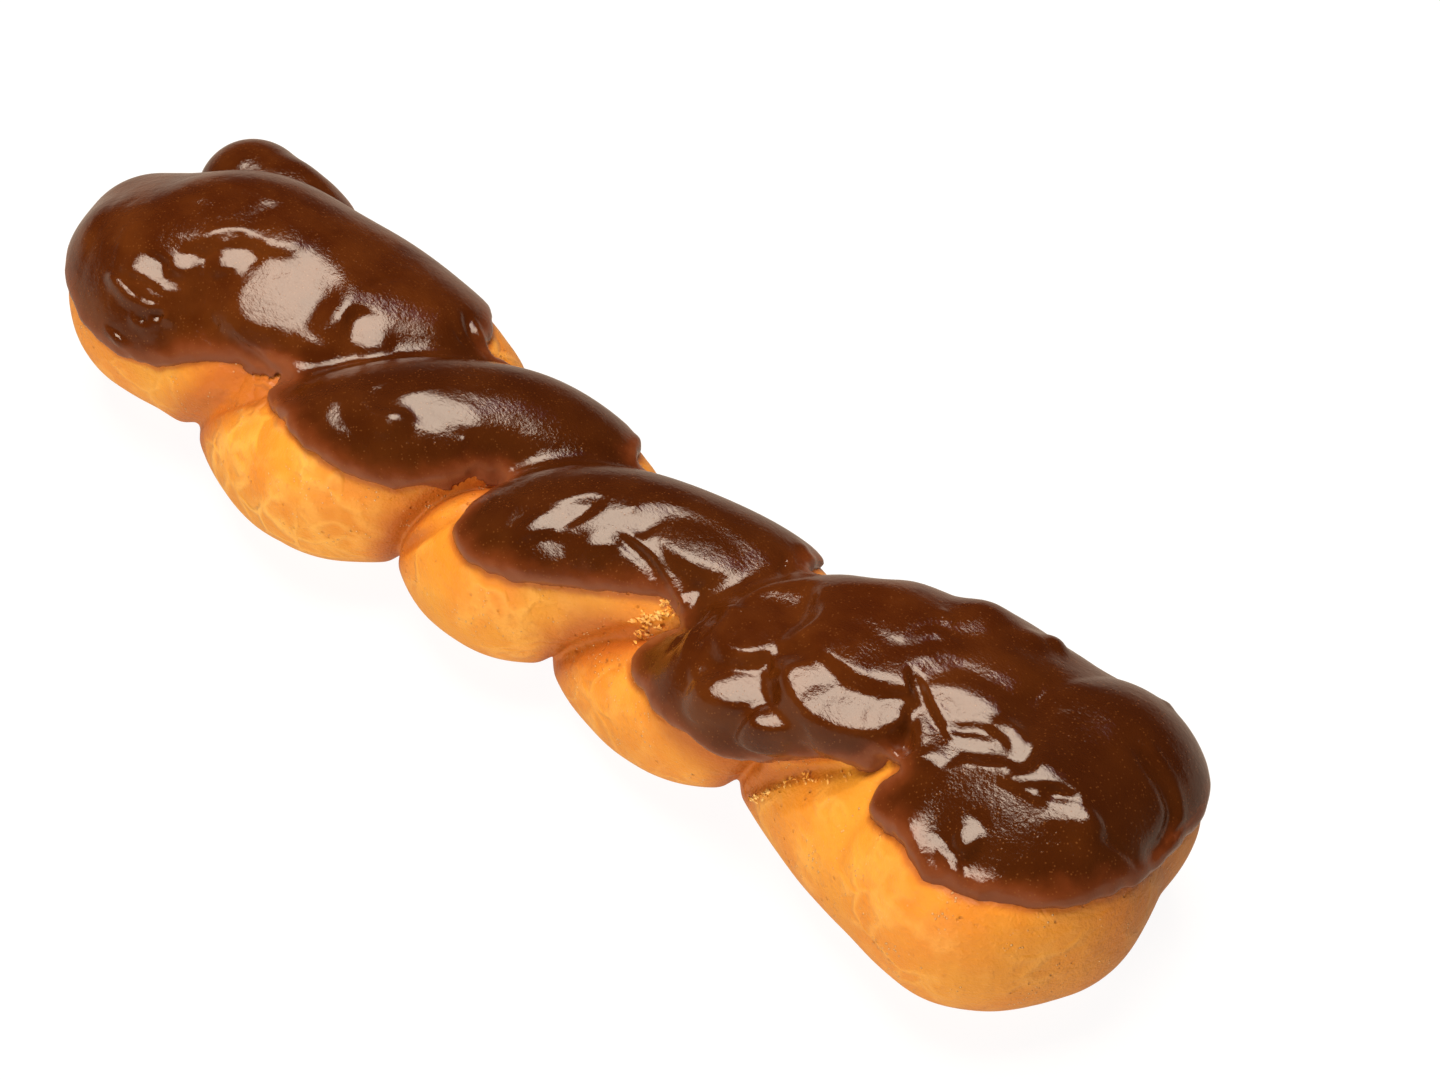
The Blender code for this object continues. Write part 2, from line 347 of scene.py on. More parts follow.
lobe_fill = [swollen(first_line[0], ball(first_line, at)) for at in FIRST_LOBE]
first_field = space.tube(np.concatenate([first_line] + lobe_fill))
roll_field = space.tube(chain(ball(first_line, FIRST_LOBE_ROLL_FROM), *FIRST_LOBE_ROLL))
first_field = soft_least(first_field, roll_field, FIRST_LOBE_ROLL_FILLET)
shelf_field = space.tube(chain(ball(first_line, FIRST_LOBE_SHELF_FROM), *FIRST_LOBE_SHELF))
first_field = soft_least(first_field, shelf_field, FIRST_LOBE_SHELF_FILLET)
first_field = soft_least(first_field, space.tube(chain(*FOURTH_LOBE_ROLL)), FOURTH_LOBE_ROLL_FILLET)
second_field = space.tube(second_line)
joins = [swollen(ball(second_line, a), ball(first_line, b)) for a, b in JOINS]
join_field = space.tube(np.concatenate(joins))
core_x = np.linspace(*CORE["ends"], CORE_BALLS)
core_rest = [np.full(CORE_BALLS, float(CORE[name])) for name in ("reach", "height", "radius")]
core_line = np.stack([core_x] + core_rest, axis=1)
core_line[:, :3] -= MIDDLE
core_field = space.tube(core_line)


def strands(crease_fillet, core_fillet):
    """The two strands and the dough between them as one surface."""
    return soft_least(soft_least(first_field, second_field, crease_fillet), core_field, core_fillet)


# The bare dough has sharp creases between its strands. Icing fills them, so the
# skin that it follows is the same surface with wide fillets. The fillets are
# those at the creases, at the core and at the joins. Lumps have a height, a size
# and a seed.
DOUGH_FILLETS = (0.7, 1.0, 2.0)
SKIN_FILLETS = (3.5, 2.0, 3.0)
BROAD_LUMPS = (0.35, 11, 1)
SMALL_LUMPS = (0.12, 4, 2)

broad_lumps = space.lumps(*BROAD_LUMPS)
dough_field = soft_least(strands(*DOUGH_FILLETS[:2]), join_field, DOUGH_FILLETS[2])
dough_field -= broad_lumps + space.lumps(*SMALL_LUMPS)
skin_field = soft_least(strands(*SKIN_FILLETS[:2]), join_field, SKIN_FILLETS[2])
skin_field -= broad_lumps

# Each swelling has a height, a radius and a middle.
SWELLS = [
    (1.3, 4.0, (70.4, 13.2, 35.5)),
    (-1.2, 4.0, (51.9, 11.2, 35.5)),
    (3.2, 6.0, (61.5, -14.5, 34.5)),
    (2.6, 5.0, (68.0, -13.0, 34.8)),
    (-1.0, 3.5, (-9.9, -6.7, 28.5)),
    (1.6, 6.5, (-99.1, -11.8, 31.5)),
    (1.5, 6.0, (85.9, 7.2, 35)),
    (1.6, 5.0, (-93.1, 25.2, 24.5)),
]
# Each crease has a height, half a width and the points that it runs through.
VALLEYS = [
    (-0.9, 3.2, [(-78.4, -8.2, 37.8), (-74.6, -10.4, 35.7), (-72.1, -12.3, 33.3),
        (-71.3, -15.0, 30.5)]),
]
# Each flat patch has a middle, the way it faces, the way its length runs, and
# half of its length and width. Those that face the softbox shine, the rest are dark.
FACETS = [
    ((-52.7, -6.1, 33.0), (0.35, -0.5, 0.79), (0.92, 0.03, -0.39), 4.0, 2.3),
    ((-29.4, -16.8, 34.0), (-0.05, -0.45, 0.89), (0.9, 0.35, 0.0), 4.6, 2.8),
    ((-28.4, -11.8, 34.7), (-0.08, -0.1, 0.99), (0.86, 0.5, 0.0), 3.4, 2.6),
    ((-77.5, -0.3, 39.2), (0.05, 0.0, 1.0), (0.97, 0.1, -0.05), 5.0, 3.6),
    ((-70.0, 1.7, 38.2), (0.12, 0.02, 0.99), (0.97, -0.1, -0.12), 4.6, 3.4),
    ((27.9, -2.4, 33.0), (0.08, 0.02, 0.995), (0.91, 0.12, -0.1), 7.0, 3.6),
    ((11.4, -15.8, 30.3), (0.12, -0.52, 0.84), (0.91, 0.4, 0.12), 7.1, 1.6),
    ((7.0, -19.4, 29.0), (0.05, -0.55, 0.83), (0.91, 0.35, 0.1), 5.4, 2.3),
    ((56.7, -3.9, 38.5), (-0.12, 0.03, 0.99), (0.81, 0.58, 0.1), 7.0, 4.6),
    ((65.4, -0.8, 38.9), (0.0, 0.03, 1.0), (0.81, 0.58, 0.0), 8.5, 5.2),
    ((77.0, 2.6, 38.0), (0.02, 0.05, 1.0), (0.97, 0.25, 0.0), 7.0, 4.8),
    ((63.3, -7.8, 39.1), (0.0, 0.03, 1.0), (0.99, 0.1, 0.0), 6.5, 4.0),
    ((71.5, -5.0, 38.8), (0.05, 0.05, 1.0), (0.97, 0.25, 0.0), 5.5, 3.4),
    ((79.5, -2.6, 38.3), (0.02, 0.08, 1.0), (0.97, 0.25, 0.0), 5.5, 3.2),
    ((45.5, -4.5, 34.9), (-0.12, 0.05, 0.99), (0.63, 0.78, 0.0), 4.0, 3.4),
    ((47.5, -13.6, 35.2), (-0.12, 0.02, 0.99), (0.63, 0.78, 0.0), 3.5, 3.0),
    ((-81.1, -6.8, 38.6), (0.02, -0.15, 0.99), (0.88, 0.48, -0.05), 6.0, 3.5),
    ((102.5, -15.5, 33.3), (0.17, -0.52, 0.84), (0.97, 0.22, 0.0), 5.0, 6.5),
    ((94.8, -17.0, 34.0), (0.08, -0.5, 0.86), (0.97, 0.22, 0.0), 8.0, 8.0),
    ((46.6, -9.8, 34.9), (-0.1, 0.06, 0.99), (0.63, 0.78, 0.03), 6.0, 4.2),
    ((74.6, -11.8, 34.6), (0.25, -0.6, 0.76), (0.73, -0.39, -0.56), 3.1, 1.4),
    ((-81.0, -17.5, 34.0), (0.3, -0.2, 0.93), (0.94, 0.18, -0.29), 3.8, 2.5),
    ((-77.4, -13.0, 35.5), (0.31, -0.19, 0.93), (0.49, 0.87, 0.01), 2.3, 1.5),
    ((-61.2, -7.5, 33.7), (0.25, -0.26, 0.93), (0.57, 0.82, 0.01), 7.5, 5.8),
    ((-71.3, -7.0, 36.0), (0.3, -0.2, 0.93), (0.55, 0.8, 0.0), 3.2, 1.9),
    ((-45.9, -1.4, 31.1), (0.27, -0.21, 0.94), (0.9, -0.3, -0.33), 3.3, 2.5),
    ((-20.5, -8.2, 33.8), (0.24, -0.21, 0.95), (0.86, 0.5, -0.1), 5.4, 2.3),
    ((7.8, -12.8, 32.5), (0.2, -0.21, 0.96), (0.45, 0.89, 0.1), 5.1, 1.7),
    ((16.9, -9.0, 32.8), (0.19, -0.22, 0.96), (0.46, 0.88, 0.11), 5.0, 2.0),
    ((32.2, -9.1, 29.2), (0.16, -0.23, 0.96), (0.13, 0.97, 0.21), 1.7, 1.0),
    ((52.2, -20.2, 32.5), (0.12, -0.22, 0.97), (0.8, 0.59, 0.05), 5.6, 2.8),
    ((59.5, -20.8, 32.5), (0.13, -0.22, 0.97), (0.69, 0.72, 0.07), 4.1, 2.1),
    ((62.6, -16.1, 36.9), (0.11, -0.23, 0.97), (0.99, -0.05, -0.14), 6.0, 3.4),
    ((69.0, -15.4, 36.3), (0.08, -0.24, 0.97), (0.85, 0.5, 0.05), 5.5, 3.2),
    ((73.2, -12.3, 36.6), (0.06, -0.24, 0.97), (0.37, 0.91, 0.18), 2.9, 1.8),
    ((75.7, -8.3, 37.0), (0.1, -0.24, 0.97), (0.8, -0.56, -0.22), 4.1, 0.9),
    ((83.1, -13.4, 35.9), (0.09, -0.24, 0.97), (0.86, 0.5, 0.04), 2.2, 1.2),
    ((83.9, -7.3, 37.1), (0.06, -0.24, 0.97), (0.96, 0.25, 0.0), 6.5, 3.6),
    ((89.8, -5.9, 37.6), (0.08, -0.25, 0.97), (0.92, -0.36, -0.17), 3.6, 2.0),
    ((97.0, -9.9, 38.0), (0.07, -0.25, 0.97), (0.97, 0.26, 0.0), 3.5, 1.4),
    ((102.8, -9.1, 36.8), (0.06, -0.25, 0.97), (1.0, 0.08, -0.04), 3.4, 1.4),
    ((93.5, -19.6, 33.2), (0.07, -0.23, 0.97), (0.34, -0.91, -0.24), 2.2, 1.6),
    ((93.2, -23.5, 30.7), (0.07, -0.23, 0.97), (0.9, -0.4, -0.2), 3.0, 0.9),
    ((-83.6, -21.3, 31.5), (0.26, -0.26, 0.93), (0.98, -0.1, -0.13), 3.4, 0.9),
    ((-77.2, -20.4, 30.3), (0.28, -0.24, 0.93), (0.95, 0.25, -0.2), 2.8, 0.9),
    ((-80.3, -19.4, 32.6), (0.28, -0.24, 0.93), (0.95, 0.2, -0.2), 3.2, 0.8),
    ((-78.6, -22.5, 28.2), (0.28, -0.24, 0.93), (0.95, 0.25, -0.2), 1.6, 0.7),
    ((-77.0, -21.1, 28.6), (0.28, -0.24, 0.93), (0.4, 0.9, 0.0), 1.5, 0.8),
    ((-82.8, -25.0, 24.3), (0.25, -0.28, 0.92), (0.97, 0.1, -0.15), 1.8, 0.5),
]
for one_field in (dough_field, skin_field):
    for item in SWELLS:
        space.swell(one_field, *item)
    for item in VALLEYS:
        space.crease(one_field, *item)
    for item in FACETS:
        space.facet(one_field, *item)

# Folds and stretch marks of the bare dough, and the sharp lines between its lobes.
DOUGH_CREASES = [
    (-0.7, 0.9, [(-50.6, -16.9, 25.7), (-55.3, -18.8, 23.3), (-58.8, -21.1, 20.9),
        (-61.9, -22.5, 18.1)]),
    (0.5, 0.9, [(-52.0, -14.4, 25.0), (-55.2, -17.3, 24.5), (-59.5, -19.6, 22.5),
        (-63.1, -21.8, 20.1)]),
    (0.5, 1.0, [(77.4, -16.4, 30.8), (74.8, -18.1, 28.1), (71.4, -20.6, 24.8), (67.3, -23.3, 20.5),
        (62.2, -24.0, 15.2)]),
    (-0.5, 1.0, [(78.3, -19.0, 28.8), (77.3, -22.7, 25.8), (77.2, -26.2, 22.3), (77.7, -28.2, 18.9)]),
    (0.5, 1.0, [(28.7, -10.4, 27.1), (25.7, -11.2, 27.4), (22.2, -13.0, 26.9), (18.9, -15.0, 25.7)]),
    (-2.2, 0.9, [(-65.0, -22.6, 16.4), (-61.8, -22.4, 19.3), (-58.7, -21.5, 21.7), (-55.6, -19.6, 23.9),
        (-53.4, -17.0, 25.0), (-50.8, -13.3, 25.4)]),
    (-2.2, 0.9, [(-17.8, -22.4, 15.6), (-14.5, -22.3, 20), (-12.1, -21.0, 22.8), (-9.7, -18.8, 25.4),
        (-8.1, -15.9, 26.7), (-7.8, -8.6, 25.8)]),
    (-2.2, 0.9, [(15.1, -19.4, 12.5), (20.7, -17.2, 18.1), (25.0, -15.0, 21.2), (31.7, -11.1, 25.1)]),
    (-2.2, 0.9, [(52.9, -20.5, 11.3), (58.6, -21.0, 18.3), (63.0, -19.6, 22.1), (67.1, -17.7, 24.8),
        (71.5, -16.5, 28.1), (76.2, -15.6, 31.1)]),
]
for item in DOUGH_CREASES:
    space.crease(dough_field, *item)
FLOOR_FILLET = 1.2
floor_field = np.broadcast_to(-space.axes[2][None, None, :], space.shape).astype(np.float32)
body_field = soft_most(dough_field, floor_field, FLOOR_FILLET)

# Where the dip into the icing ended, lobe by lobe along the front, then back
# along the far side.
EDGE_LOBE_1 = [
    (-110.1, 5.2, 20), (-111.1, -4.8, 21.5), (-107.6, -13.3, 22.8), (-104.1, -17.8, 22.8),
    (-99.6, -20.5, 22.3), (-94.8, -22.9, 21.2), (-89.6, -24.3, 20.5), (-85.2, -24.6, 20.1),
    (-81.3, -23.9, 19.9), (-77.5, -22.4, 19.9), (-74.2, -20.3, 20.0), (-71.2, -17.4, 19.6),
    (-65.7, -16.5, 21.7), (-60.2, -15.6, 23.5), (-55.8, -14.9, 24.5), (-51.8, -14.1, 25.3),
]
EDGE_LOBE_2 = [
    (-51.3, -15.6, 25.5), (-52.0, -17.8, 25.3), (-50.1, -20.0, 25.5), (-44.5, -22.6, 27.3),
    (-38.7, -24.3, 28.1), (-33.8, -24.8, 27.8), (-29.7, -24.4, 26.9), (-26.8, -23.5, 26.4),
    (-23.9, -22.0, 25.9), (-20.9, -19.9, 25.6), (-18.0, -17.3, 25.6), (-15.9, -15.0, 25.5),
    (-13.2, -10.9, 26.3), (-11.2, -9.0, 25.6), (-9.0, -7.0, 25.5),
]
EDGE_LOBE_3 = [
    (-7.9, -10.9, 26.5), (-8.2, -17.6, 26.3), (-7.3, -20.3, 25.5), (-4.6, -22.3, 24.8),
    (-1.0, -23.1, 24.8), (2.9, -22.7, 25.0), (7.0, -21.4, 25.0), (10.5, -19.5, 25.1),
    (14.0, -17.7, 25.1), (17.5, -15.8, 25.4), (21.0, -13.9, 26.1), (24.4, -12.0, 27.0),
    (27.4, -10.8, 27.1), (29.9, -10.8, 26.2), (31.6, -10.9, 25.3),
]
EDGE_LOBE_4 = [
    (33.3, -10.9, 24.9), (31.5, -12.0, 23.6), (29.8, -14.6, 22.0), (29.0, -17.1, 21.0),
    (29.4, -18.8, 20.4), (31.5, -20.7, 20.3), (35.0, -22.5, 20.8), (38.4, -23.7, 20.8),
    (41.9, -24.0, 21.0), (45.2, -23.7, 21.0), (48.8, -22.8, 20.8), (51.9, -21.4, 20.3),
    (55.1, -20.2, 20.7), (59.5, -19.9, 22.5), (63.3, -18.9, 24.4), (66.8, -17.4, 26.3),
    (69.9, -16.3, 28.2), (72.8, -15.4, 29.9), (75.1, -15.0, 30.9), (77.2, -15.3, 31.6),
]
EDGE_LOBE_5 = [
    (78.5, -15.4, 31.9), (78.2, -16.4, 31.0), (77.4, -18.0, 29.2), (77.2, -19.7, 27.8),
    (77.6, -21.5, 26.8), (79.2, -22.2, 26.9), (81.5, -22.8, 27.5), (84.8, -23.6, 28.8),
    (88.7, -25.7, 28.6), (91.4, -26.2, 28.5), (94.7, -25.9, 28.6), (97.5, -25.1, 28.7),
    (100.7, -23.6, 28.5), (103.6, -21.8, 28.3), (106.8, -19.2, 28.0), (109.3, -15.7, 27.7),
    (111.2, -11.4, 27.2), (112.3, -6.8, 25.8), (112.4, 1.2, 24), (110.9, 9.2, 22.5), (106.9, 16.2, 22),
]
EDGE_FAR_SIDE = [
    (97.9, 21.2, 22), (87.9, 23.2, 22), (75.9, 21.2, 22), (61.9, 18.2, 21), (50.9, 16.2, 22),
    (44.9, 12.2, 25), (41.9, 7.2, 28), (40.9, 8.2, 27), (38.9, 12.7, 24), (33.9, 15.7, 21.5),
    (27.9, 16.7, 19.5), (17.9, 16.2, 20), (7.9, 16.7, 21), (2.9, 13.2, 24), (0.4, 13.2, 22),
    (-3.1, 16.2, 20), (-12.1, 18.7, 19), (-22.1, 19.2, 19), (-30.1, 18.2, 21), (-34.1, 15.2, 24),
    (-38.1, 18.2, 22.5), (-44.1, 23.2, 20), (-52.1, 26.2, 19), (-62.1, 27.2, 19), (-72.1, 28.2, 18),
    (-80.1, 28.2, 17), (-90.1, 30.7, 16.5), (-101.1, 30.2, 16.5), (-110.1, 27.2, 16),
    (-113.1, 20.2, 15.5), (-110.1, 12.2, 15.5), (-107.1, 10.2, 16.5),
]
# Icing is worked out within SHELL of the skin and above LOWEST_ICING. Its edge
# wanders by random swells of a height, a size and a seed.
EDGE_SPACING = 0.7
TWIST_AXIS = (-2.62, 13)
SHELL = 3.2
LOWEST_ICING = 11
EDGE_REACH = 3.5
DEEP = 9.0
TAIL_FROM = (-104.0, 14.0, 17.5)
BARE_ENDS = [(1, 104.0, 21.0), (-1, 100.0, 15.2)]
EDGE_WANDER = [(0.55, 3.2, 3), (0.45, 1.3, 4)]

edge = EDGE_LOBE_1 + EDGE_LOBE_2 + EDGE_LOBE_3 + EDGE_LOBE_4 + EDGE_LOBE_5 + EDGE_FAR_SIDE
edge = smooth(edge, EDGE_SPACING, closed=True)
edge = space.settled(skin_field, space.settled(skin_field, edge))
edge = smooth(edge[::3], EDGE_SPACING, closed=True)
edge_out = space.slope(skin_field, edge)
edge_along = np.roll(edge, -2, axis=0) - np.roll(edge, 2, axis=0)
edge_up = np.cross(edge_out, edge_along)
edge_up = sum(np.roll(edge_up, k, axis=0) for k in (-2, -1, 0, 1, 2))
edge_up /= np.linalg.norm(edge_up, axis=1)[:, None]
tree = KDTree(len(edge))
for k, spot in enumerate(edge):
    tree.insert(spot, k)
tree.balance()


def unrolled(points):
    """How far along the twist and how far up round its middle points are."""
    turn = np.degrees(np.arctan2(points[:, 2] - TWIST_AXIS[1], -(points[:, 1] - TWIST_AXIS[0])))
    return points[:, 0], turn


def inside(along, turn, loop_along, loop_turn):
    """Whether points lie within a loop, all of them unrolled flat."""
    odd = np.zeros(len(along), bool)
    for k in range(len(loop_along)):
        x0, x1, y0, y1 = loop_along[k - 1], loop_along[k], loop_turn[k - 1], loop_turn[k]
        if y0 != y1:
            beside = (turn >= min(y0, y1)) & (turn < max(y0, y1))
            odd ^= beside & (along < x0 + (turn - y0) / (y1 - y0) * (x1 - x0))
    return odd


# Near the edge, its own slope says what is iced. Further away the loop does, with
# rules for the ends, where unrolling misleads: the tail is iced, low dough is bare.
# The field above_edge is how far above the edge each place is.
near = np.abs(skin_field) < SHELL
near[:, :, space.axes[2] < LOWEST_ICING] = False
places = np.argwhere(near) * STEP + space.low
found = [tree.find(spot) for spot in places]
nearest = np.array([item[1] for item in found])
reach = np.array([item[2] for item in found])
up = ((places - edge[nearest]) * edge_up[nearest]).sum(axis=1)
iced = inside(*unrolled(places), *unrolled(edge))
iced |= (places[:, 0] < TAIL_FROM[0]) & (places[:, 1] > TAIL_FROM[1]) & (places[:, 2] > TAIL_FROM[2])
for side, beyond, below in BARE_ENDS:
    iced &= (side * places[:, 0] < beyond) | (places[:, 2] > below)
up = np.where(reach > EDGE_REACH, np.where(iced, reach, -reach), up)
above_edge = np.full(space.shape, DEEP, np.float32)
above_edge[near] = up
above_edge[:, :, space.axes[2] < LOWEST_ICING] = -DEEP
above_edge += sum(space.lumps(*item) for item in EDGE_WANDER)

# A seam runs down between the strands, and the dough sinks a little under the icing.
SEAM_DEPTH = 1.4
SEAM_WIDTH = 1.2
SEAM_REACH = 2.0
SEAM_END = 98.0
SEAM_FADE = 8
SINK = 0.6
SINK_FROM = 2.0
SINK_OVER = 3
HIDDEN_FROM = 2.5
UNDERSIDE = 0.8

beside = np.minimum(first_field, second_field)
seam_share = np.clip((SEAM_END - space.axes[0]) / SEAM_FADE, 0, 1)[:, None, None]
seam = np.exp(-(((first_field - second_field) / SEAM_WIDTH) ** 2) - (beside / SEAM_REACH) ** 2)
dough_field = soft_most(body_field + SEAM_DEPTH * seam_share * seam, floor_field, FLOOR_FILLET)
dough_field += SINK * np.clip((above_edge - SINK_FROM) / SINK_OVER, 0, 1)
hidden = np.maximum(above_edge - HIDDEN_FROM, UNDERSIDE + floor_field)
dough = space.mesh("dough_body", dough_field, passes=2, hidden=hidden, even_share=0.75)


def corners_of(piece):
    """The corners of a piece's mesh."""
    flat = np.zeros(len(piece.data.vertices) * 3, np.float32)
    piece.data.vertices.foreach_get("co", flat)
    return flat.reshape(-1, 3) / MM


def mark(piece, name, values):
    """Keeps a value at each corner of a piece's mesh, for its material."""
    piece.data.attributes.new(name, "FLOAT", "POINT").data.foreach_set("value", values.astype(np.float32))


# Painted shade darkens the creases and the line under the icing's edge, but
# hardly so at the torn knot, where pale crumb shows.
CREASE_SHADE_FILLETS = (9.0, 6.0)
KNOT = (28.0, -12.2, 24.0)
KNOT_RADIUS = 6.0
KNOT_PALENESS = 0.75
UNDER_EDGE_SHADE = 1.5
UNDER_EDGE_SHADE_WIDTH = 1.1

corners = corners_of(dough)
shade = -space.at(strands(*CREASE_SHADE_FILLETS), corners)
from_knot = np.linalg.norm(corners - KNOT, axis=1)
shade *= 1 - KNOT_PALENESS * np.exp(-((from_knot / KNOT_RADIUS) ** 2))
painted_shade_under_edge = UNDER_EDGE_SHADE * np.exp(-((space.at(above_edge, corners) / UNDER_EDGE_SHADE_WIDTH) ** 2))
mark(dough, "hollow", np.maximum(shade, painted_shade_under_edge))


class Socket:
    """One output in a material, so that sums over it read as sums."""

    def __init__(self, finish, output):
        self.finish = finish
        self.output = output

    def math(self, operation, *values):
        return self.finish.node("ShaderNodeMath", {"operation": operation}, dict(enumerate(values)))

    def __add__(self, other):
        return self.math("ADD", self, other)

    def __sub__(self, other):
        return self.math("SUBTRACT", self, other)

    def __rsub__(self, other):
        return self.math("SUBTRACT", other, self)

    def __mul__(self, other):
        return self.math("MULTIPLY", self, other)

    __radd__ = __add__
    __rmul__ = __mul__

    def step(self, low, high):
        """0 below low and 1 above high, smooth between."""
        settings = {"interpolation_type": "SMOOTHSTEP"}
        return self.finish.node("ShaderNodeMapRange", settings, {0: self, 1: low, 2: high})


class Finish:
    """The nodes of a material or of the world. They end in its shader."""

    def __init__(self, owner, shader="Principled BSDF", place="Object"):
        owner.use_nodes = True
        self.owner = owner
        self.tree = owner.node_tree
        self.shader = self.tree.nodes[shader]
        self.place = self.node("ShaderNodeTexCoord", {}, {}, place)

    def node(self, kind, settings, inputs, output=0):
        """Adds a node. Its settings come first, then the values or links of its sockets."""
        made = self.tree.nodes.new(kind)
        for name, value in settings.items():
            setattr(made, name, value)
        for name, value in inputs.items():
            self.feed(made.inputs[name], value)
        return Socket(self, made.outputs[output])

    def feed(self, socket, value):
        """Links a socket, or sets its value. A colour gets its alpha here."""
        if isinstance(value, Socket):
            self.tree.links.new(value.output, socket)
        elif hasattr(socket.default_value, "__len__") and len(value) < len(socket.default_value):
            socket.default_value = (*value, 1)
        else:
            socket.default_value = value

    def set(self, **values):
        """Feeds the shader's sockets, with _ for the spaces in their names."""
        for name, value in values.items():
            self.feed(self.shader.inputs[name.replace("_", " ")], value)

    def along(self, axis):
        """How far along X, Y or Z each place is, in metres."""
        return self.node("ShaderNodeSeparateXYZ", {}, {0: self.place}, axis)

    def mark(self, name):
        """The value that was kept at the corners of the mesh."""
        return self.node("ShaderNodeAttribute", {"attribute_name": name}, {}, "Fac")

    def blend(self, share, first, second):
        """A colour between two, by a share of 0 to 1."""
        settings = {"data_type": "RGBA", "clamp_factor": True}
        return self.node("ShaderNodeMix", settings, {0: share, 6: first, 7: second}, 2)

    def moved(self, stretch, shift=None):
        """The place on the piece, each axis multiplied, and shifted by a vector."""
        scaled = self.node("ShaderNodeVectorMath", {"operation": "MULTIPLY"}, {0: self.place, 1: stretch})
        if shift is None:
            return scaled
        return self.node("ShaderNodeVectorMath", {"operation": "ADD"}, {0: scaled, 1: shift})

    def noise(self, size, detail=2.0, at=None, rough=0.5):
        """Cloudy noise from 0 to 1, its clouds this many mm across."""
        inputs = {"Vector": at or self.place, "Scale": 1 / (size * MM), "Detail": detail, "Roughness": rough}
        return self.node("ShaderNodeTexNoise", {}, inputs, "Fac")

    def dots(self, size, at=None):
        """How far, in dot spacings, each place is from the nearest of scattered dots."""
        inputs = {"Vector": at or self.place, "Scale": 1 / (size * MM)}
        return self.node("ShaderNodeTexVoronoi", {}, inputs, "Distance")

    def web(self, stretch, wander, randomness):
        """How far each place is from the threads of a net, which stray by up to wander metres."""
        bend = self.node("ShaderNodeTexNoise", {}, {"Vector": self.place, "Scale": 110, "Detail": 2}, "Color")
        shift = self.node("ShaderNodeVectorMath", {"operation": "SCALE"}, {0: bend, "Scale": wander})
        inputs = {"Vector": self.moved(stretch, shift), "Scale": 180, "Randomness": randomness}
        return self.node("ShaderNodeTexVoronoi", {"feature": "DISTANCE_TO_EDGE"}, inputs, "Distance")

    def bump(self, height, strength, distance, normal=None):
        """A relief this many mm high, over another one if that is given."""
        inputs = {"Height": height, "Strength": strength, "Distance": distance * MM}
        if normal is not None:
            inputs["Normal"] = normal
        return self.node("ShaderNodeBump", {}, inputs, "Normal")


DOUGH_GOLD = (0.74, 0.290, 0.024)
DOUGH_ORANGE = (0.71, 0.235, 0.018)
DOUGH_PALE = (0.90, 0.44, 0.075)
DOUGH_BROWN = (0.44, 0.105, 0.012)
DOUGH_PAINTED_GLINT = (1.0, 0.72, 0.36)

finish = Finish(bpy.data.materials.new("fried dough"))
height = finish.along("Z")
across = finish.along("X")
clouds = finish.noise(14, 3)
patches = finish.noise(5, 4)
fine = finish.noise(1.3, 4)
colour = finish.blend(clouds.step(0.35, 0.65), DOUGH_GOLD, DOUGH_ORANGE)
colour = finish.blend(patches.step(0.5, 0.72) * 0.35, colour, DOUGH_PALE)

# Pale stretch marks where the dough rose: a few threads all over, and a net on
# the second lobe.
threads = 1 - finish.web((0.55, 0.55, 0.9), 0.009, 1.0).step(0.0, 0.16)
threads = threads * finish.noise(18, 1).step(0.45, 0.62)
net = 1 - finish.web((0.9, 0.9, 0.9), 0.005, 0.7).step(0.02, 0.17)
second_lobe = across.step(-0.068, -0.056) * (1 - across.step(-0.040, -0.022))
net = net * second_lobe * finish.noise(9, 1).step(0.3, 0.55)
colour = finish.blend(threads * 0.35, colour, DOUGH_PALE)
colour = finish.blend(net * 0.7, colour, DOUGH_PALE)

# Browner low down, in flecks and a few pores; painted shade at the right end and in creases.
low_down = 1 - (height + (clouds - 0.5) * 0.008).step(0.002, 0.017)
colour = finish.blend(low_down * 0.25, colour, DOUGH_BROWN)
colour = finish.blend(fine.step(0.58, 0.8) * 0.28, colour, DOUGH_BROWN)
# Painted shade: the right end is darkened, less so high up.
painted_shade_right_end = across.step(0.088, 0.116) * (1 - height.step(0.018, 0.034) * 0.6)
colour = finish.blend(painted_shade_right_end * 0.4, colour, DOUGH_BROWN)
# Painted shade in the creases and under the icing's edge.
hollow = finish.mark("hollow") + (patches - 0.5) * 0.9
colour = finish.blend(hollow.step(0.1, 1.5) * 0.85, colour, DOUGH_BROWN)
pores = (1 - finish.dots(1.7).step(0.08, 0.2)) * finish.noise(7, 1).step(0.5, 0.66)
colour = finish.blend(pores * 0.25, colour, DOUGH_BROWN)

# Tiny blisters of the crust, each with a painted glint of light.
painted_glints = 1 - finish.dots(0.8, finish.moved((1, 1, 1), (0.3, 0.1, 0.2))).step(0.10, 0.24)
painted_glints = painted_glints * finish.noise(5, 1, finish.moved((1, 1, 1), (0.2, 0.5, 0.1))).step(0.52, 0.68)
colour = finish.blend(painted_glints * 0.7, colour, DOUGH_PAINTED_GLINT)

wrinkles = finish.noise(2.4, 3, finish.moved((0.4, 0.4, 1.6)))
relief = fine * 0.35 + patches * 0.6 + threads * 0.25 - pores * 0.35 + painted_glints * 0.5
relief = relief + wrinkles * 0.4 + net * 0.5 + finish.noise(0.45, 3) * 0.22
finish.set(Base_Color=colour, Roughness=0.42, IOR=1.4, Normal=finish.bump(relief, 0.9, 0.7))
dough.data.materials.append(finish.owner)
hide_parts("dough")
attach(dough, "root")


# The icing

# Chocolate icing, warm and runny when the top of the twist was dipped into it.
# It has set as a glossy skin that fills the creases between the strands.

EDGE_ROUNDING = 2.2
EDGE_DIVE = 1.2
DEEPEST_DIVE = -3.5
UNDER_SKIN = -0.6
NO_ICING = 3.0

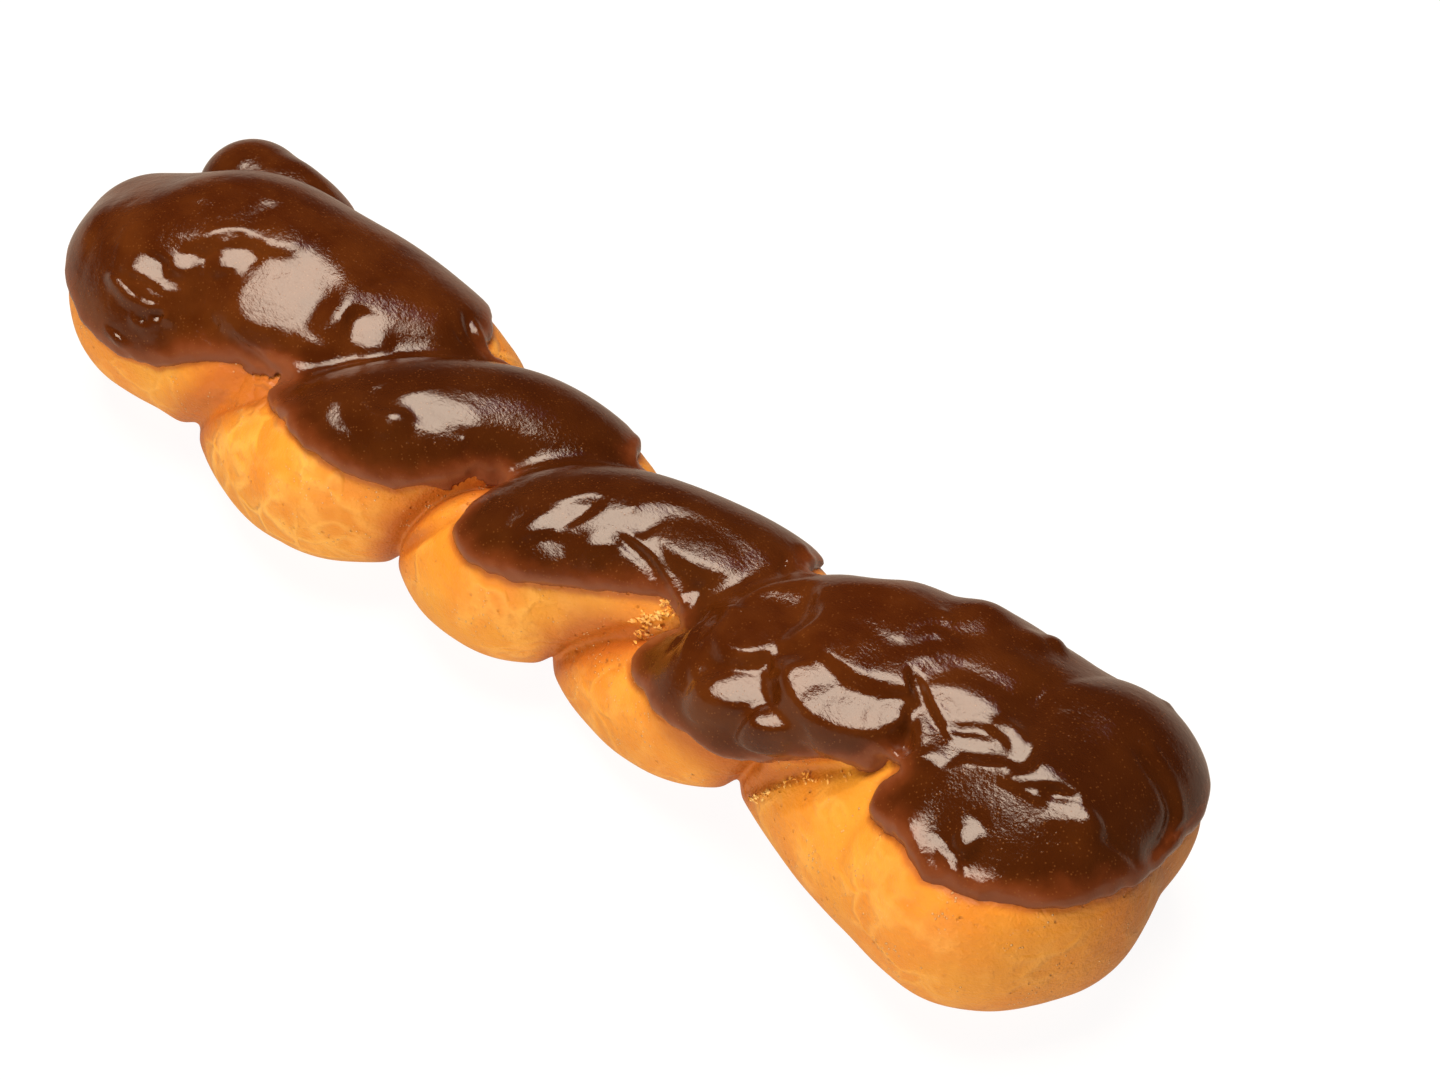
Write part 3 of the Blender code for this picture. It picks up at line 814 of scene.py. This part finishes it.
swelling = np.clip(above_edge / EDGE_ROUNDING, 0, 1)
round_edge = ICING_THICKNESS * np.sqrt(1 - (1 - swelling) ** 2)
thickness = np.where(above_edge > 0, round_edge, above_edge * EDGE_DIVE)
thickness = np.maximum(thickness, DEEPEST_DIVE)
icing_field = np.maximum(skin_field - thickness, UNDER_SKIN - body_field)
icing_field = np.where(near, icing_field, NO_ICING).astype(np.float32)

# Folds that set as the icing slid and wrinkled. Each has a height, half a width
# and the points that it runs through.
ICING_CREASES = [
    (-0.52, 0.6, [(-83.8, -15.2, 35.6), (-81.0, -14.7, 34.8), (-77.5, -15.2, 34.2),
        (-75.4, -15.8, 32.6)]),
    (-0.52, 0.6, [(-85.0, -19.7, 33.5), (-81.5, -20.2, 32.8), (-78.7, -19.8, 31.3)]),
    (1.12, 0.7, [(-87.1, -20.7, 31.6), (-85.0, -20.9, 31.4), (-81.6, -21.2, 30.9), (-78.4, -20.4, 30.4),
        (-74.9, -18.8, 29.9)]),
    (1.05, 0.8, [(-84.6, -25.0, 23.9), (-82.3, -25.0, 23.5), (-79.9, -24.7, 23.0)]),
    (0.38, 0.8, [(-77.3, -8.2, 37.5), (-76.9, -6.0, 38.1), (-74.9, -3.6, 38.2), (-72.3, -2.2, 37.9)]),
    (0.25, 1.2, [(-86.7, -19.8, 32.6), (-89.1, -16.7, 34.5), (-91.0, -12.9, 35.9)]),
    (0.52, 0.6, [(-81.0, -22.8, 27.8), (-80.1, -21.6, 29.3), (-78.3, -21.0, 29.1), (-76.4, -21.1, 27.6),
        (-76.9, -22.4, 26.0), (-78.3, -22.2, 27.2)]),
    (-1.05, 0.8, [(-68.7, -14.9, 28.9), (-64.9, -15.0, 28.2), (-60.2, -15.6, 27.8),
        (-55.5, -14.9, 26.4), (-49.6, -15.1, 27.8)]),
    (0.4, 1.0, [(-64.9, -14.4, 29.6), (-60.1, -14.8, 29.1), (-55.4, -14.0, 27.6),
        (-50.4, -13.7, 27.8)]),
    (-0.9, 0.8, [(-40.6, 15.3, 28.0), (-37.6, 13.2, 27.1), (-35.3, 12.9, 25.6), (-33.1, 13.4, 23.8)]),
    (-0.68, 0.7, [(-39.7, 11.2, 29.0), (-37.0, 10.8, 27.3), (-34.6, 11.1, 25.5)]),
    (0.52, 0.7, [(-38.6, 15.4, 26.9), (-36.5, 14.4, 25.9), (-34.6, 14.2, 24.3)]),
    (-0.45, 0.8, [(-52.0, 4.2, 33.9), (-51.6, 11.2, 32.3)]),
    (-0.52, 0.5, [(-15.7, -9.9, 31.2), (-14.4, -10.5, 30.1), (-12.9, -11.1, 27.8)]),
    (0.75, 0.7, [(-3.3, 16.8, 22.0), (-0.2, 13.0, 23.6), (1.7, 10.7, 23.8)]),
    (-1.2, 0.8, [(17.5, -9.3, 32.6), (20.3, -9.2, 32.0), (23.5, -9.3, 31.2), (26.5, -10.0, 30.0),
        (29.4, -10.7, 28.4), (31.8, -11.3, 27.5)]),
    (0.75, 0.8, [(17.9, -8.5, 32.7), (20.6, -8.2, 32.3), (23.9, -8.3, 31.6), (27.2, -9.2, 30.4),
        (30.1, -9.9, 29.1), (32.6, -10.7, 28.4)]),
    (0.12, 1.6, [(0.4, -13.2, 31.8), (0.8, -17.1, 30.7), (3.2, -19.8, 29.3), (6.9, -19.9, 28.6),
        (11.0, -18.0, 28.7)]),
    (-1.2, 0.5, [(38.3, 6.0, 30.6), (40.0, 3.1, 31.2), (41.9, 0.7, 31.5)]),
    (0.6, 0.6, [(38.6, 6.6, 30.4), (40.5, 3.7, 31.0)]),
    (0.75, 0.8, [(36.0, 11.5, 28.2), (39.1, 9.5, 28.9), (40.4, 10.4, 27.0)]),
    (-1.2, 0.9, [(32.1, -13.2, 25.3), (34.7, -13.5, 28.0), (35.8, -11.7, 29.3)]),
    (-0.75, 0.8, [(35.1, -12.5, 28.6), (36.2, -15.7, 28.6), (35.9, -18.3, 27.2)]),
    (0.75, 0.9, [(37.3, -13.1, 30.2), (38.6, -16.3, 30.2), (39.7, -18.9, 29.8)]),
    (0.6, 0.8, [(36.8, -10.9, 30.3), (39.2, -10.0, 32.1), (43.5, -9.7, 34.4)]),
    (0.6, 1.2, [(42.2, -19.4, 30.6), (46.2, -22.5, 29.9), (49.7, -23.4, 28.8), (53.3, -22.9, 28.2)]),
    (-0.9, 0.6, [(51.1, -14.2, 34.2), (55.8, -15.7, 33.3), (60.1, -17.2, 32.7), (63.7, -18.9, 32.1),
        (64.9, -18.7, 29.0)]),
    (0.68, 0.6, [(51.8, -13.6, 34.8), (56.3, -15.0, 33.6), (60.5, -16.2, 33.1), (64.0, -18.1, 32.5),
        (66.5, -19.2, 31.1)]),
    (-0.52, 0.6, [(56.2, -12.0, 34.6), (58.4, -11.2, 34.5), (61.6, -11.2, 34.1), (63.1, -12.7, 33.8),
        (61.8, -14.1, 33.6), (59.6, -14.2, 33.7)]),
    (-0.45, 0.5, [(61.7, -17.7, 32.6), (64.6, -19.2, 31.6)]),
    (-0.5, 1.2, [(56.4, -21.2, 32.3), (57.2, -19.9, 32.9), (57.9, -18.0, 33.3)]),
    (0.52, 0.9, [(68.3, -0.3, 38.3), (68.5, 1.9, 38.4), (70.3, 3.2, 38.2), (72.3, 3.0, 37.9)]),
    (-1.05, 0.9, [(73.8, -6.3, 37.5), (77.2, -8.5, 36.8), (81.9, -10.8, 36.7)]),
    (-0.75, 0.9, [(71.8, -6.9, 34.0), (75.4, -10.3, 36.2), (77.7, -12.4, 35.6)]),
    (0.75, 0.8, [(74.8, -5.9, 37.4), (78.1, -8.1, 37.1), (82.4, -10.1, 36.9)]),
    (1.05, 0.6, [(78.6, -16.0, 33.5), (78.9, -15.2, 34.2), (80.4, -14.8, 34.9), (81.3, -15.4, 34.7),
        (80.6, -16.2, 33.8), (79.2, -16.6, 33.3)]),
    (-0.75, 0.8, [(79.0, -8.4, 37.2), (81.9, -8.6, 37.2), (85.1, -6.7, 37.4), (88.5, -6.9, 37.6),
        (90.4, -8.3, 37.3)]),
    (-0.6, 0.8, [(92.7, -10.5, 38.1), (94.5, -6.7, 37.8)]),
    (-0.6, 0.8, [(94.6, -12.4, 37.9), (98.5, -9.6, 37.5), (102.2, -7.6, 37.1)]),
    (-1.0, 1.3, [(101.7, 6.9, 34.8), (105.1, 6.4, 33.1), (108.1, 6.0, 30.6), (110.1, 4.6, 28.3),
        (111.4, 1.1, 27.2), (112.3, -4.1, 28.4)]),
    (0.6, 1.0, [(102.0, 8.4, 34.5), (105.4, 8.0, 32.8), (108.5, 7.4, 30.1), (110.6, 6.0, 27.4),
        (111.7, 2.8, 25.9), (112.6, -2.4, 27.0)]),
    (-0.75, 0.8, [(107.9, -8.6, 34.0), (110.2, -6.8, 31.7), (112.6, -5.3, 28.4)]),
    (0.45, 0.8, [(101.4, -12.2, 36.9), (104.8, -10.9, 35.7), (108.2, -9.4, 33.6)]),
    (0.3, 1.4, [(85.6, -23.7, 31.2), (91.6, -24.5, 32.1), (96.9, -25.6, 30.4), (102.1, -23.3, 30.0)]),
]
# Drips, burst bubbles and beads. Each has a height, a radius and a middle.
ICING_SWELLS = [
    (0.6, 0.8, (-46.0, -16.6, 29.6)),
    (0.4, 0.6, (15.1, -16.8, 28.0)),
    (0.4, 0.5, (-9.9, -6.0, 28.9)),
    (0.4, 0.6, (-15.6, -9.7, 31.3)),
    (0.4, 0.6, (15.9, -4.2, 33.9)),
    (0.4, 0.6, (67.0, 7.0, 37.9)),
    (0.4, 0.6, (69.0, 6.2, 38.0)),
    (0.4, 0.6, (83.9, 3.7, 35.7)),
    (0.7, 1.0, (98.0, 20.5, 29.1)),
    (0.7, 3.0, (71.6, 0.3, 38.1)),
    (-1.6, 1.0, (35.8, -12.1, 29.2)),
    (1.6, 1.8, (80.4, 16.7, 32.8)),
    (0.9, 2.2, (78.7, 14.0, 34.8)),
    (-0.6, 1.2, (-78.1, -21.8, 27.9)),
]
for item in ICING_CREASES:
    space.crease(icing_field, *item)
for item in ICING_SWELLS:
    space.swell(icing_field, *item)
INNER_SIDE = 0.4
icing = space.mesh("icing_skin", icing_field, passes=1, hidden=INNER_SIDE - skin_field, even_share=0.95)
mark(icing, "from_edge", space.at(above_edge, corners_of(icing)))

ICING_DARK = (0.062, 0.0120, 0.0010)
ICING_BROWN = (0.098, 0.0235, 0.0030)
ICING_EDGE_AND_SHEEN = (0.235, 0.072, 0.028)
ICING_WARM = (0.165, 0.036, 0.008)
ICING_PAINTED_SHADE = (0.040, 0.0090, 0.0010)
ICING_SPECK = (0.22, 0.075, 0.018)

finish = Finish(bpy.data.materials.new("chocolate icing"))
across = finish.along("X")
middle_lobes_shade = across.step(-0.045, -0.030) * (1 - across.step(0.030, 0.042))
right_end = across.step(0.06, 0.10)
colour = finish.blend(finish.noise(9, 3).step(0.35, 0.7), ICING_DARK, ICING_BROWN)
# Painted shade darkens the middle lobes and the right end.
colour = finish.blend(middle_lobes_shade * 0.5 + right_end * 0.6, colour, ICING_PAINTED_SHADE)

# It is warmer towards its edge, and so thin at the edge that the dough shows
# through; that thin band also carries a painted sheen of reflected light.
from_edge = finish.mark("from_edge")
drift = (finish.noise(2.5, 3) - 0.5) * 3.0
first_lobe = 1 - across.step(-0.078, -0.052)
warm_edge = 1 - (from_edge + drift).step(1.0, 5.5)
colour = finish.blend(warm_edge * 0.75, colour, ICING_WARM)
thin_edge_and_sheen = 1 - ((from_edge + drift * 0.6) * (1 - first_lobe * 0.2)).step(0.2, 2.7)
colour = finish.blend(thin_edge_and_sheen * (0.76 - first_lobe * 0.30 - right_end * 0.34), colour, ICING_EDGE_AND_SHEEN)

# Fine lighter specks.
specks = (1 - finish.dots(0.62).step(0.10, 0.30)) * finish.noise(1.6, 1).step(0.38, 0.58)
colour = finish.blend(specks * 0.45, colour, ICING_SPECK)

ripple = finish.noise(0.8, 3, finish.moved((1.0, 1.6, 1.0)), rough=0.65)
bump = finish.bump(ripple * 0.4 + finish.noise(3.5, 3), 0.7, 0.23)
bump = finish.bump(specks, 0.14, 0.1, bump)
finish.set(Base_Color=colour, Roughness=finish.noise(3, 2) * 0.07 + 0.065, IOR=1.5, Normal=bump)
icing.data.materials.append(finish.owner)
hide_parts("icing")
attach(icing, "root")


# Torn crumbs

# Where the strands pulled apart the pale crumb inside has torn, and left small
# ragged flakes that the frying oil made crisp.

CRUMB_PALE = (0.93, 0.54, 0.15)
CRUMB_GOLD = (0.84, 0.37, 0.05)
# Each trail has a name, a number of flakes, their size, how far they stray, and
# the points that it runs through.
CRUMB_TRAILS = [
    ("crumbs_by_the_knot", 130, 0.85, 0.75, [(25.8, -14.4, 20.9), (27.2, -12.8, 22.9),
        (28.6, -11.9, 24.4), (29.6, -10.9, 25.9), (28.8, -10.2, 27.2)]),
    ("crumbs_under_lobe_d", 80, 0.65, 0.5, [(53.1, -23.0, 11.2), (56.4, -22.6, 14.2),
        (59.9, -21.4, 17.6), (63.9, -19.8, 21.2), (68.4, -18.4, 25.0), (72.9, -16.4, 29.0)]),
]
CRUMB_SEED = 11
TRAIL_SPACING = 0.2
RIM_CORNERS = 6
RIM = range(RIM_CORNERS)
UPPER_FACES = [(k, (k + 1) % RIM_CORNERS, RIM_CORNERS) for k in RIM]
LOWER_FACES = [((k + 1) % RIM_CORNERS, k, RIM_CORNERS + 1) for k in RIM]


def flake(draw, size):
    """Corners of a ragged chip: a crooked rim, then a tip above it and one below."""
    turn = np.linspace(0, 2 * math.pi, RIM_CORNERS + 1)[:-1] + draw.uniform(-0.4, 0.4, RIM_CORNERS)
    rim = np.stack([np.cos(turn), np.sin(turn), np.zeros(RIM_CORNERS)], axis=1)
    rim = rim * draw.uniform(0.3, 1.0, (RIM_CORNERS, 1))
    rim[:, 1] *= draw.uniform(0.3, 0.9)
    rim[:, 2] = draw.uniform(-0.25, 0.35, RIM_CORNERS)
    tips = np.array([[0, 0, draw.uniform(0.3, 0.7)], [0, 0, -0.3]])
    return np.concatenate([rim, tips]) * size


finish = Finish(bpy.data.materials.new("torn crumb"))
colour = finish.blend(finish.noise(1.2, 2).step(0.4, 0.6), CRUMB_PALE, CRUMB_GOLD)
relief = finish.bump(finish.noise(0.4, 3), 0.7, 0.2)
finish.set(Base_Color=colour, Roughness=0.45, IOR=1.4, Normal=relief)
draw = np.random.default_rng(CRUMB_SEED)
for name, count, size, spread, trail in CRUMB_TRAILS:
    points = smooth(trail, TRAIL_SPACING)
    points = points[draw.integers(0, len(points), count)] + draw.normal(0, spread, (count, 3))
    points = space.settled(dough_field, points)
    ways = space.slope(dough_field, points)
    corners = []
    faces = []
    for point, way in zip(points, ways):
        chip = flake(draw, size * draw.uniform(0.4, 1.0))
        towards = Vector(way + draw.normal(0, 0.5, 3)).to_track_quat("Z", "Y").to_matrix()
        faces += [tuple(len(corners) + c for c in face) for face in UPPER_FACES + LOWER_FACES]
        corners += [tuple((point + np.array(towards @ Vector(c))) * MM) for c in chip]
    made = bpy.data.meshes.new(name)
    made.from_pydata(corners, [], faces)
    crumbs = bpy.data.objects.new(name, made)
    bpy.context.scene.collection.objects.link(crumbs)
    made.materials.append(finish.owner)
    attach(crumbs, "root")


# The white ground

# A plain white ground and a white wall far behind it, lit so brightly that only
# a trace of shadow is left. Neither shows in the gloss of the icing.

GROUND_SIZE = 8.0
GROUND_COLOUR = (0.11, 0.11, 0.11)
GROUND_GLOW = 0.92
BACKDROP_RADIUS = 3.9
BACKDROP_HEIGHT = 5.0
BACKDROP_SUNK = 0.01
WHITE = (1, 1, 1)
BLACK = (0, 0, 0)

bpy.ops.mesh.primitive_plane_add(size=GROUND_SIZE)
ground = bpy.context.object
ground.name = "ground"
ground.visible_glossy = False
finish = Finish(bpy.data.materials.new("white ground"))
finish.set(Base_Color=GROUND_COLOUR, Roughness=0.7, Emission_Color=WHITE, Emission_Strength=GROUND_GLOW)
ground.data.materials.append(finish.owner)

bpy.ops.mesh.primitive_cylinder_add(radius=BACKDROP_RADIUS, depth=BACKDROP_HEIGHT, end_fill_type="NOTHING")
backdrop = bpy.context.object
backdrop.name = "backdrop"
backdrop.location.z = BACKDROP_HEIGHT / 2 - BACKDROP_SUNK
backdrop.visible_diffuse = False
backdrop.visible_glossy = False
backdrop.visible_shadow = False
finish = Finish(bpy.data.materials.new("white backdrop"))
finish.set(Base_Color=BLACK, Roughness=1.0, Emission_Color=WHITE, Emission_Strength=1.0)
backdrop.data.materials.append(finish.owner)


# The light

# One large warm softbox overhead, a little to the left, a weak bluish light
# beyond the twist, a broad soft light in front that leaves no reflection, and a
# faint light from all round, warmer from below.

SOFTBOX = {
    "towards": (-0.15, 0.10, 0.97), "away": 1.2, "size": 0.75,
    "radiance": 11.5, "colour": (1.0, 0.83, 0.66),
}
WINDOW = {
    "towards": (-0.10, 0.45, 0.87), "away": 1.2, "size": 0.18,
    "radiance": 1.3, "colour": (0.35, 0.35, 1.0),
}
FILL = {
    "towards": (0.12, -0.95, 0.20), "away": 1.5, "size": 1.1,
    "radiance": 6.2, "colour": (1.0, 0.97, 0.92),
}
BELOW = (0.50, 0.38, 0.29)
ABOVE = (0.035, 0.033, 0.032)
HORIZON = 0.08


def area_light(name, towards, away, size, radiance, colour):
    """A square light so many metres from the twist's middle, turned to face it."""
    light = bpy.data.lights.new(name, "AREA")
    light.size = size
    light.energy = radiance * math.pi * size**2
    light.color = colour
    lamp = bpy.data.objects.new(name, light)
    lamp.location = Vector(towards).normalized() * away
    lamp.rotation_euler = (-lamp.location).to_track_quat("-Z", "Y").to_euler()
    bpy.context.scene.collection.objects.link(lamp)
    return lamp


area_light("softbox", **SOFTBOX)
area_light("window", **WINDOW)
area_light("fill", **FILL).visible_glossy = False

studio = bpy.data.worlds.new("studio")
bpy.context.scene.world = studio
sky = Finish(studio, "Background", "Generated")
upward = sky.node("ShaderNodeMapRange", {}, {0: sky.along("Z"), 1: -HORIZON, 2: HORIZON})
sky.set(Color=sky.blend(upward, BELOW, ABOVE))


# The camera

# It looks down on the twist from in front of its right end, with a long lens.

AZIMUTH = math.radians(42)
ELEVATION = math.radians(45)
DISTANCE = 0.475
TARGET = Vector((20.0, 17.5, 17.0)) * MM - Vector(MIDDLE) * MM
FOCAL_LENGTH = 75
CLIP_START = 0.01

level = math.cos(ELEVATION)
back = Vector((math.sin(AZIMUTH) * level, -math.cos(AZIMUTH) * level, math.sin(ELEVATION)))
lens = bpy.data.cameras.new("camera")
lens.lens = FOCAL_LENGTH
lens.clip_start = CLIP_START
camera = bpy.data.objects.new("camera", lens)
camera.location = TARGET + back * DISTANCE
camera.rotation_euler = (-back).to_track_quat("-Z", "Y").to_euler()
bpy.context.scene.collection.objects.link(camera)
bpy.context.scene.camera = camera
bpy.context.scene.view_settings.view_transform = "Standard"
